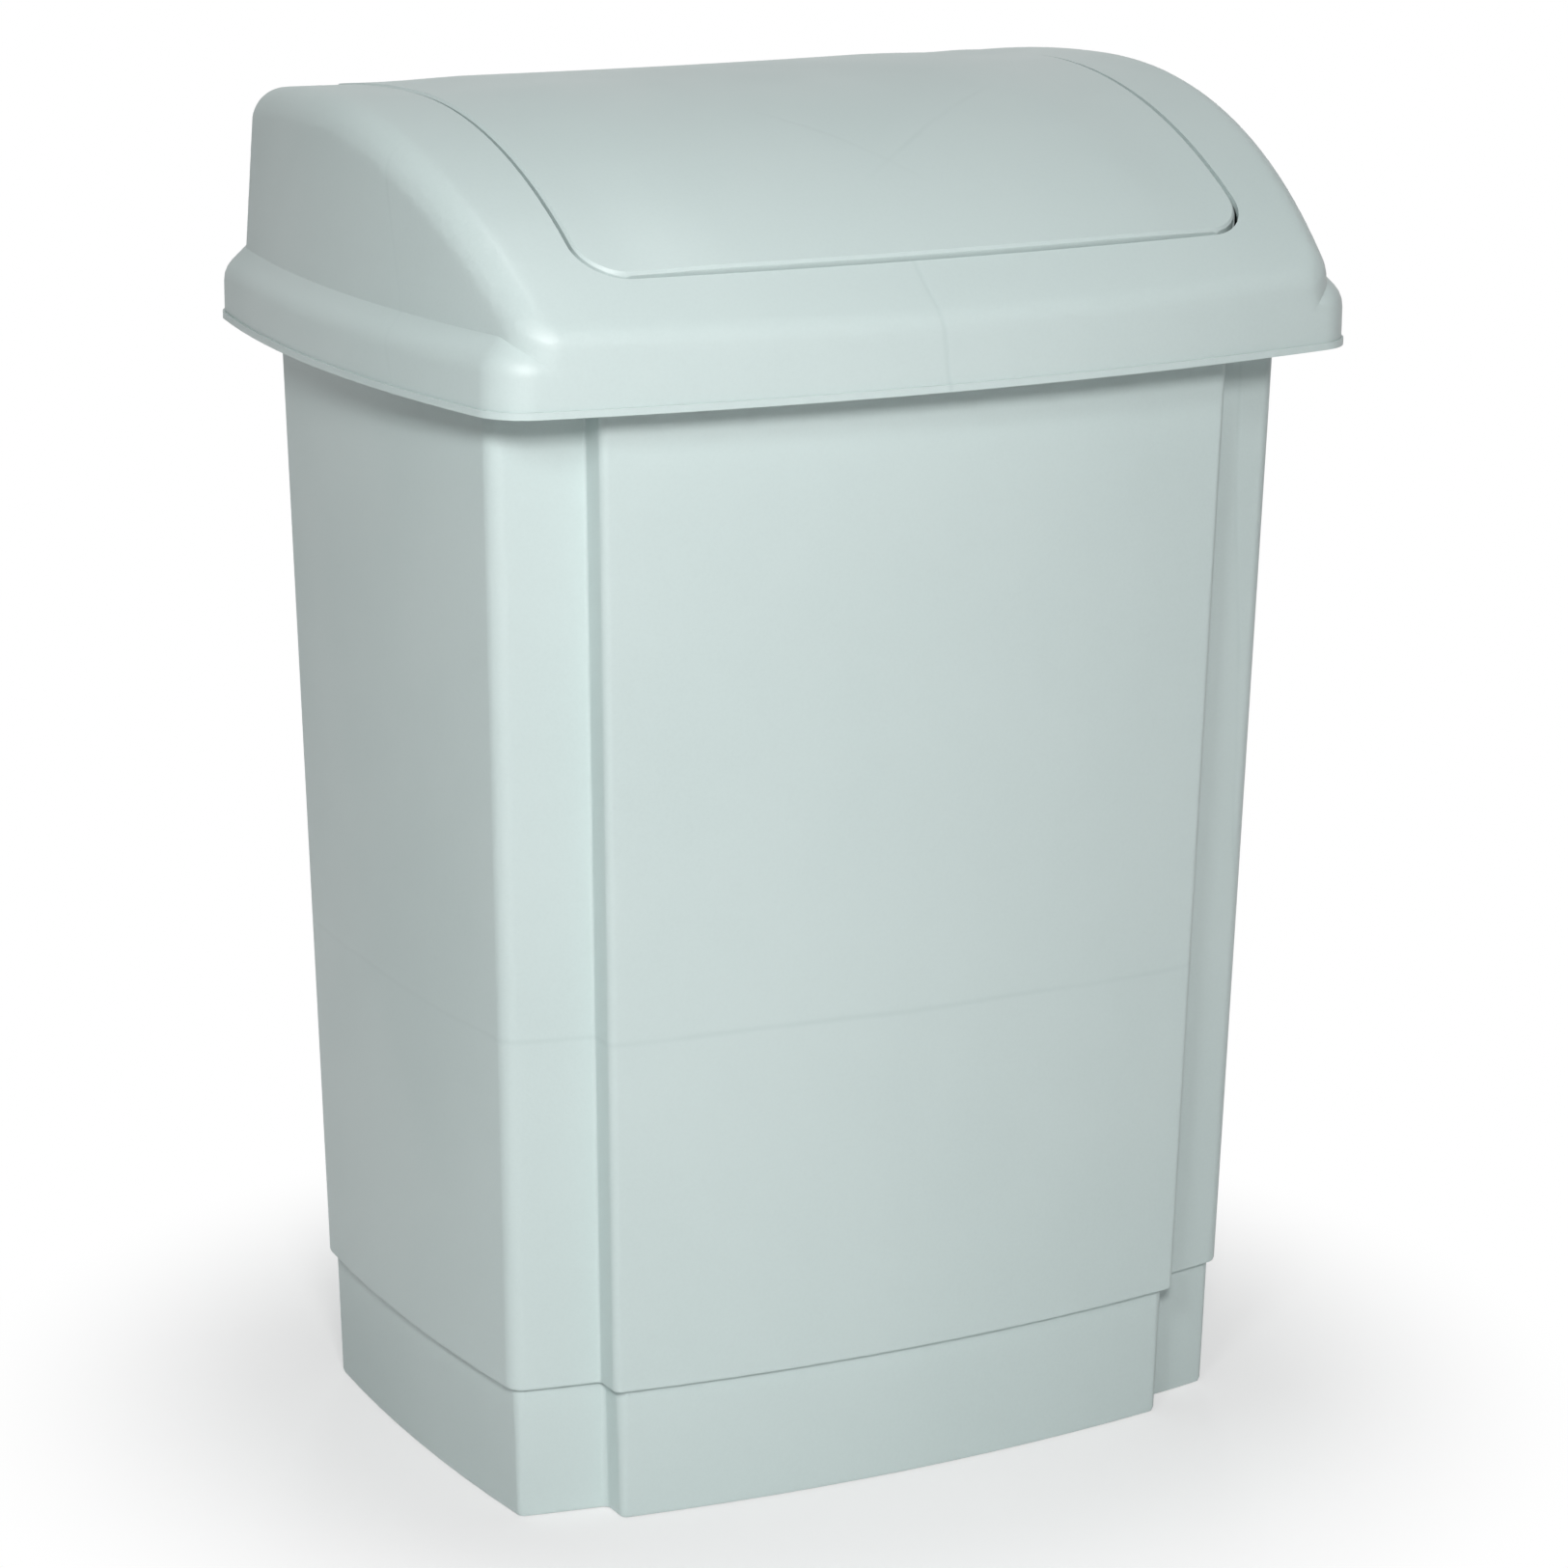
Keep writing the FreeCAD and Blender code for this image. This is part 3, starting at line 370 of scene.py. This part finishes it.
def new_group(name):
    """A fresh node group with its input and output nodes."""
    group = bpy.data.node_groups.new(name, "ShaderNodeTree")
    kit = Nodes(group)
    return group, kit, kit.add("NodeGroupInput"), kit.add("NodeGroupOutput")


# Materials

def moulded_grain_group():
    """The matt texture that the mould leaves: a fine grain with slight waviness under it."""
    group = bpy.data.node_groups.get("MouldedGrain")
    if group:
        return group
    group, kit, inward, outward = new_group("MouldedGrain")
    group_socket(group, "Place", "Vector")
    group_socket(group, "Grains per metre", "Float")
    group_socket(group, "Depth", "Float")
    group_socket(group, "Waviness", "Float", WAVE_DEPTH)
    group_socket(group, "Height", "Float", out=True)
    group_socket(group, "Grain", "Float", out=True)
    place = inward.outputs["Place"]
    grain = kit.noise(place, inward.outputs["Grains per metre"], detail=1.0, roughness=0.6)
    wave = kit.noise(place, WAVES, detail=0.0)
    height = kit.math("ADD", kit.math("MULTIPLY", grain, inward.outputs["Depth"]),
                      kit.math("MULTIPLY", wave, inward.outputs["Waviness"]))
    kit.feed(outward.inputs["Height"], height)
    kit.feed(outward.inputs["Grain"], grain)
    return group


def flow_line_group():
    """A faint wandering line across the surface, where two fronts of plastic met in the mould."""
    group = bpy.data.node_groups.get("FlowLine")
    if group:
        return group
    group, kit, inward, outward = new_group("FlowLine")
    group_socket(group, "Place", "Vector")
    group_socket(group, "Across", "Vector")
    group_socket(group, "Offset", "Float")
    group_socket(group, "Along", "Vector")
    group_socket(group, "From", "Float")
    group_socket(group, "To", "Float")
    group_socket(group, "Width", "Float")
    group_socket(group, "Line", "Float", out=True)
    group_socket(group, "Step", "Float", out=True)
    place = inward.outputs["Place"]
    start = inward.outputs["From"]
    stop = inward.outputs["To"]
    width = inward.outputs["Width"]

    def measured(direction):
        node = kit.add("ShaderNodeVectorMath", operation="DOT_PRODUCT")
        kit.feed(node.inputs[0], place)
        kit.feed(node.inputs[1], direction)
        return node.outputs["Value"]

    astray = kit.math("SUBTRACT", kit.noise(place, LINE_WANDERS, detail=1.0), NOISE_MEAN)
    across = kit.math("SUBTRACT", measured(inward.outputs["Across"]), inward.outputs["Offset"])
    across = kit.math("ADD", across, kit.math("MULTIPLY", astray, LINE_WANDER))
    along = measured(inward.outputs["Along"])
    near = kit.ramp(kit.math("ABSOLUTE", across), 0.0, width, 1.0, 0.0)
    begins = kit.ramp(along, kit.math("SUBTRACT", start, LINE_FADE), start)
    ends = kit.ramp(along, stop, kit.math("ADD", stop, LINE_FADE), 1.0, 0.0)
    within = kit.math("MULTIPLY", begins, ends)
    patchy = kit.ramp(kit.noise(place, LINE_PATCHES, detail=0.0), *PATCH_RANGE, LINE_LEAST, 1.0)
    line = kit.math("MULTIPLY", kit.math("MULTIPLY", near, within), patchy)
    step = kit.ramp(across, kit.math("MULTIPLY", width, -1.0), width)
    kit.feed(outward.inputs["Line"], line)
    kit.feed(outward.inputs["Step"], kit.math("MULTIPLY", step, within))
    return group


def cloud_group():
    """Slow clouds in the plastic, and patches of fine scuffs."""
    group = bpy.data.node_groups.get("PlasticClouds")
    if group:
        return group
    group, kit, inward, outward = new_group("PlasticClouds")
    group_socket(group, "Place", "Vector")
    group_socket(group, "Clouds per metre", "Float", CLOUDS)
    group_socket(group, "Cloud", "Float", out=True)
    group_socket(group, "Scuff", "Float", out=True)
    place = inward.outputs["Place"]
    cloud = kit.noise(place, inward.outputs["Clouds per metre"], detail=3.0, roughness=0.55)
    stretched = kit.add("ShaderNodeMapping")
    kit.feed(stretched.inputs["Vector"], place)
    stretched.inputs["Rotation"].default_value = SCUFF_TURN
    stretched.inputs["Scale"].default_value = SCUFF_STRETCH
    streak = kit.noise(stretched.outputs["Vector"], 1.0, detail=2.0, roughness=0.6)
    where = kit.ramp(kit.noise(place, SCUFF_PATCHES, detail=2.0), *SCUFF_PATCH_RANGE)
    scuff = kit.math("MULTIPLY", kit.ramp(streak, *SCUFF_RANGE), where)
    kit.feed(outward.inputs["Cloud"], kit.ramp(cloud, *CLOUD_RANGE))
    kit.feed(outward.inputs["Scuff"], scuff)
    return group


def opaque(colour, share=1.0):
    """A colour with full alpha, made paler or darker by a share."""
    return tuple(min(1.0, part * share) for part in colour) + (1.0,)


def moulded_plastic(name, finish, lines):
    """Satin moulded plastic with grain, clouds, scuffs and its own flow lines."""
    material = bpy.data.materials.new(name)
    material.use_nodes = True
    tree = material.node_tree
    tree.nodes.clear()
    kit = Nodes(tree)
    output = kit.add("ShaderNodeOutputMaterial")
    shader = kit.add("ShaderNodeBsdfPrincipled")
    kit.feed(output.inputs["Surface"], shader.outputs["BSDF"])
    place = kit.add("ShaderNodeTexCoord").outputs["Object"]

    def group(tree_group, **values):
        node = kit.add("ShaderNodeGroup", node_tree=tree_group)
        for label, value in values.items():
            kit.feed(node.inputs[label.replace("_", " ")], value)
        return node

    grain = group(moulded_grain_group(), Place=place, Grains_per_metre=1.0 / finish.grain_size,
                  Depth=finish.grain_depth)
    clouds = group(cloud_group(), Place=place)
    shade = opaque(finish.shade)
    pale = opaque(finish.colour, PALER)
    cloud = clouds.outputs["Cloud"]
    scuff = clouds.outputs["Scuff"]
    painted = kit.mix(kit.math("MULTIPLY", cloud, CLOUD_SHARE), opaque(finish.colour), shade)
    speckle = kit.ramp(grain.outputs["Grain"], *SPECKLE_RANGE, 0.0, SPECKLE_SHARE)
    painted = kit.mix(speckle, painted, pale)
    painted = kit.mix(kit.math("MULTIPLY", scuff, SCUFF_SHARE), painted, pale)
    height = grain.outputs["Height"]
    smoother = 0.0
    for values in lines:
        node = group(flow_line_group(), Place=place, Width=finish.weld_width, **values)
        line = node.outputs["Line"]
        step = node.outputs["Step"]
        painted = kit.mix(kit.math("MULTIPLY", line, LINE_SHARE), painted, shade)
        height = kit.math("ADD", height, kit.math("MULTIPLY", line, -finish.weld_depth))
        height = kit.math("ADD", height, kit.math("MULTIPLY", step, finish.weld_depth))
        smoother = kit.math("SUBTRACT", smoother, kit.math("MULTIPLY", line, LINE_SMOOTHER))
    rough = kit.ramp(cloud, 0.0, 1.0, finish.roughness - CLOUD_SMOOTHER, finish.roughness + CLOUD_ROUGHER)
    uneven = kit.math("SUBTRACT", grain.outputs["Grain"], NOISE_MEAN)
    rough = kit.math("ADD", rough, kit.math("MULTIPLY", uneven, GRAIN_ROUGHER))
    rough = kit.math("ADD", rough, kit.math("MULTIPLY", scuff, SCUFF_ROUGHER))
    rough = kit.math("ADD", rough, smoother, clamp=True)
    bump = kit.add("ShaderNodeBump")
    bump.inputs["Strength"].default_value = BUMP_STRENGTH
    bump.inputs["Distance"].default_value = 1.0
    kit.feed(bump.inputs["Height"], height)
    kit.feed(shader.inputs["Base Color"], painted)
    kit.feed(shader.inputs["Roughness"], rough)
    kit.feed(shader.inputs["Normal"], bump.outputs["Normal"])
    shader.inputs["IOR"].default_value = finish.gloss_index
    return material


# Pieces

def dressed_piece(name, node, body, material, finish):
    """A shown copy of a moulding with welded facets and smooth shading."""
    piece = bpy.data.objects.new(name, frame["nodes"][node].data.copy())
    bpy.context.scene.collection.objects.link(piece)
    mesh = piece.data
    mesh.materials.clear()
    mesh.materials.append(material)
    bpy.context.view_layer.objects.active = piece
    for item in bpy.context.view_layer.objects:
        item.select_set(item == piece)
    if bpy.ops.mesh.customdata_custom_splitnormals_clear.poll():
        bpy.ops.mesh.customdata_custom_splitnormals_clear()
    weld = piece.modifiers.new("WeldedFacets", "WELD")
    weld.merge_threshold = WELD_DISTANCE
    bpy.ops.object.modifier_apply(modifier=weld.name)
    mesh = piece.data
    mesh.polygons.foreach_set("use_smooth", [True] * len(mesh.polygons))
    mesh.set_sharp_from_angle(angle=finish.smooth_angle)
    leaning = piece.modifiers.new("EvenShading", "WEIGHTED_NORMAL")
    leaning.mode = "FACE_AREA"
    leaning.keep_sharp = True
    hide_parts(node)
    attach(piece, body)
    if not mesh.polygons:
        raise RuntimeError("%s has no faces" % name)
    return piece


def tighten_rounds(piece, tub, arcs):
    """Draw upright rounds of the tub in towards their corners, so that they read as crisp lines."""
    rise = tub.wall_top - tub.wall_foot
    corner = Vector((1.0, (1.0 - math.cos(arcs.turn)) / math.sin(arcs.turn)))
    for vertex in piece.data.vertices:
        place = vertex.co
        height = min(1.0, max(0.0, (place.z - tub.wall_foot) / rise))
        middle = Vector(arcs.foot).lerp(Vector(arcs.top), height)
        arm = (Vector((abs(place.x), abs(place.y))) - middle) * arcs.side
        turn = math.atan2(arm.y, arm.x)
        on_arc = arcs.least < arm.length < arcs.most
        if on_arc and -SMALL_TURN < turn < arcs.turn + SMALL_TURN:
            meeting = corner * arm.length
            moved = middle + (meeting + (arm - meeting) * arcs.share) * arcs.side
            place.x = math.copysign(moved.x, place.x)
            place.y = math.copysign(moved.y, place.y)
    piece.data.update()


def settle_sides(piece, flap):
    """Let the flap's sides lie nearly flush with the hood, while its front and back edges stand proud."""
    mesh = piece.data
    corners = [vertex.co.copy() for vertex in mesh.vertices]
    tree = BVHTree.FromPolygons(corners, [face.vertices[:] for face in mesh.polygons])

    def outward(point):
        return (point - Vector((point.x, 0.0, flap.arch_middle))).normalized()

    skin = set()
    for face in mesh.polygons:
        if face.normal.dot(outward(face.center)) > OUTWARD_COSINE:
            skin.update(face.vertices)
    for index in skin:
        point = corners[index]
        share = min(1.0, max(0.0, (abs(point.x) - flap.side_start) / flap.side_run))
        share = share * share * (3.0 - 2.0 * share)
        from_pivot = math.hypot(point.y - flap.pivot_place[1], point.z - flap.pivot_place[2])
        direction = outward(point)
        covered = tree.ray_cast(point + direction * OFF_THE_SKIN, direction)[0]
        if share > 0.0 and covered is None and from_pivot > flap.stub_room:
            mesh.vertices[index].co = point - direction * (share * flap.side_drop)
    mesh.update()


class BIN_OT_tub(bpy.types.Operator):
    """Finish the tapered tub"""

    bl_idname = "waste_bin.tub"
    bl_label = "Tub"

    def execute(self, context):
        finish = context.scene.waste_bin_finish
        tub = context.scene.waste_bin_tub
        material = moulded_plastic("TubPlastic", finish, TUB_LINES)
        piece = dressed_piece("tub_moulding", "tub", "tub", material, finish)
        hollow_turn = math.radians(90.0) - tub.strip_turn
        tighten_rounds(piece, tub, Round(
            tub.hollow_foot, tub.hollow_top, HOLLOW_SIDE, hollow_turn,
            tub.hollow_least, tub.hollow_most, tub.hollow_share))
        tighten_rounds(piece, tub, Round(
            tub.edge_foot, tub.edge_top, EDGE_SIDE, tub.edge_turn,
            tub.edge_least, tub.edge_most, tub.edge_share))
        return {"FINISHED"}


class BIN_OT_hood(bpy.types.Operator):
    """Finish the lift-off hood"""

    bl_idname = "waste_bin.hood"
    bl_label = "Hood"

    def execute(self, context):
        finish = context.scene.waste_bin_finish
        material = moulded_plastic("HoodPlastic", finish, HOOD_LINES)
        dressed_piece("hood_moulding", "hood", "hood", material, finish)
        return {"FINISHED"}


class BIN_OT_flap(bpy.types.Operator):
    """Finish the swinging flap"""

    bl_idname = "waste_bin.flap"
    bl_label = "Flap"

    def execute(self, context):
        finish = context.scene.waste_bin_finish
        material = moulded_plastic("FlapPlastic", finish, FLAP_LINES)
        piece = dressed_piece("flap_moulding", "flap", "flap", material, finish)
        settle_sides(piece, context.scene.waste_bin_flap)
        return {"FINISHED"}


# Stage

def aimed(place, target, roll=0.0):
    """A placement at one point that looks at another."""
    direction = Vector(target) - Vector(place)
    turn = direction.to_track_quat("-Z", "Y").to_matrix().to_4x4()
    return Matrix.Translation(Vector(place)) @ turn @ Matrix.Rotation(roll, 4, "Z")


def add_lamp(name, power, colour, azimuth, elevation, distance, width, mirrored):
    """A soft square lamp, placed by its angles round the bin."""
    data = bpy.data.lights.new(name, "AREA")
    data.shape = "SQUARE"
    data.size = width
    data.energy = power
    data.color = colour
    lamp = bpy.data.objects.new(name, data)
    bpy.context.scene.collection.objects.link(lamp)
    turn = math.radians(azimuth)
    rise = math.radians(elevation)
    ray = Vector((math.sin(turn) * math.cos(rise), -math.cos(turn) * math.cos(rise), math.sin(rise)))
    lamp.matrix_world = aimed(LAMP_AIM + ray * distance, LAMP_AIM)
    lamp.visible_glossy = mirrored


def seen_or_mirrored(kit):
    """A mask of rays that come straight from the camera or by way of gloss or glass."""
    path = kit.add("ShaderNodeLightPath")
    mirrored = kit.math("MAXIMUM", path.outputs["Is Glossy Ray"], path.outputs["Is Transmission Ray"])
    return kit.math("MAXIMUM", path.outputs["Is Camera Ray"], mirrored)


def set_world(ambient):
    """Even white light, with a white background."""
    world = bpy.data.worlds.new("StudioWorld")
    world.use_nodes = True
    kit = Nodes(world.node_tree)
    world.node_tree.nodes.clear()
    output = kit.add("ShaderNodeOutputWorld")
    sky = kit.add("ShaderNodeBackground")
    sky.inputs["Color"].default_value = WHITE
    strength = kit.ramp(seen_or_mirrored(kit), 0.0, 1.0, ambient, 1.0)
    kit.feed(sky.inputs["Strength"], strength)
    kit.feed(output.inputs["Surface"], sky.outputs["Background"])
    bpy.context.scene.world = world


def floor_material(colour, near_white):
    """A pale matt floor that fades into the white background away from the bin's shadow."""
    material = bpy.data.materials.new("PaleFloor")
    material.use_nodes = True
    kit = Nodes(material.node_tree)
    material.node_tree.nodes.clear()
    output = kit.add("ShaderNodeOutputMaterial")
    matt = kit.add("ShaderNodeBsdfPrincipled")
    place = kit.add("ShaderNodeTexCoord").outputs["Object"]
    mottle = kit.noise(place, FLOOR_MOTTLES, detail=3.0)
    kit.feed(matt.inputs["Base Color"], kit.mix(mottle, opaque(colour), opaque(colour, FLOOR_DARKER)))
    kit.feed(matt.inputs["Roughness"], kit.ramp(mottle, *FLOOR_RANGE, *FLOOR_ROUGHNESS))
    white = kit.add("ShaderNodeEmission")
    white.inputs["Color"].default_value = WHITE
    distance = kit.add("ShaderNodeVectorMath", operation="LENGTH")
    kit.feed(distance.inputs[0], place)
    away = kit.ramp(distance.outputs["Value"], SHADOW_NEAR, SHADOW_FAR, near_white, 1.0)
    blend = kit.add("ShaderNodeMixShader")
    kit.feed(blend.inputs[0], kit.math("MULTIPLY", away, seen_or_mirrored(kit)))
    kit.feed(blend.inputs[1], matt.outputs["BSDF"])
    kit.feed(blend.inputs[2], white.outputs["Emission"])
    kit.feed(output.inputs["Surface"], blend.outputs["Shader"])
    return material


def add_camera(stage):
    """The camera that the photograph was taken with, as far as it could be measured."""
    data = bpy.data.cameras.new("PhotoCamera")
    data.sensor_fit = "HORIZONTAL"
    data.sensor_width = SENSOR_WIDTH
    data.lens = stage.lens
    data.clip_end = CLIP_END
    camera = bpy.data.objects.new("PhotoCamera", data)
    bpy.context.scene.collection.objects.link(camera)
    camera.matrix_world = aimed(stage.camera_place, stage.camera_aim, stage.camera_roll)
    return camera


class BIN_OT_stage(bpy.types.Operator):
    """Set the floor, the lamps and the camera"""

    bl_idname = "waste_bin.stage"
    bl_label = "Stage"

    def execute(self, context):
        scene = context.scene
        stage = scene.waste_bin_stage
        scene.view_settings.view_transform = "Standard"
        bpy.ops.mesh.primitive_circle_add(
            vertices=FLOOR_SIDES, radius=FLOOR_RADIUS, fill_type="NGON", location=(0.0, 0.0, 0.0))
        floor = context.object
        floor.name = "pale_floor"
        floor.data.materials.append(floor_material(stage.floor_colour, stage.floor_white))
        set_world(stage.ambient)
        for name, power, colour, *placing in LAMPS:
            add_lamp(name, getattr(stage, power), getattr(stage, colour), *placing)
        scene.camera = add_camera(stage)
        return {"FINISHED"}


class BIN_PT_panel(bpy.types.Panel):
    """Lists the pieces and their values"""

    bl_idname = "BIN_PT_panel"
    bl_label = "Waste bin"
    bl_space_type = "VIEW_3D"
    bl_region_type = "UI"
    bl_category = "Waste bin"

    def draw(self, context):
        for piece in (BIN_OT_tub, BIN_OT_hood, BIN_OT_flap, BIN_OT_stage):
            self.layout.operator(piece.bl_idname)
        scene = context.scene
        for values in (scene.waste_bin_finish, scene.waste_bin_tub,
                       scene.waste_bin_flap, scene.waste_bin_stage):
            for name in values.__annotations__:
                self.layout.prop(values, name)


CLASSES = (
    BinFinish, BinTub, BinFlap, BinStage,
    BIN_OT_tub, BIN_OT_hood, BIN_OT_flap, BIN_OT_stage,
    BIN_PT_panel,
)


def register():
    for item in CLASSES:
        bpy.utils.register_class(item)
    bpy.types.Scene.waste_bin_finish = bpy.props.PointerProperty(type=BinFinish)
    bpy.types.Scene.waste_bin_tub = bpy.props.PointerProperty(type=BinTub)
    bpy.types.Scene.waste_bin_flap = bpy.props.PointerProperty(type=BinFlap)
    bpy.types.Scene.waste_bin_stage = bpy.props.PointerProperty(type=BinStage)


def unregister():
    del bpy.types.Scene.waste_bin_stage
    del bpy.types.Scene.waste_bin_flap
    del bpy.types.Scene.waste_bin_tub
    del bpy.types.Scene.waste_bin_finish
    for item in reversed(CLASSES):
        bpy.utils.unregister_class(item)


def main():
    register()
    bpy.ops.waste_bin.tub()
    bpy.ops.waste_bin.hood()
    bpy.ops.waste_bin.flap()
    bpy.ops.waste_bin.stage()


if __name__ == "__main__":
    main()
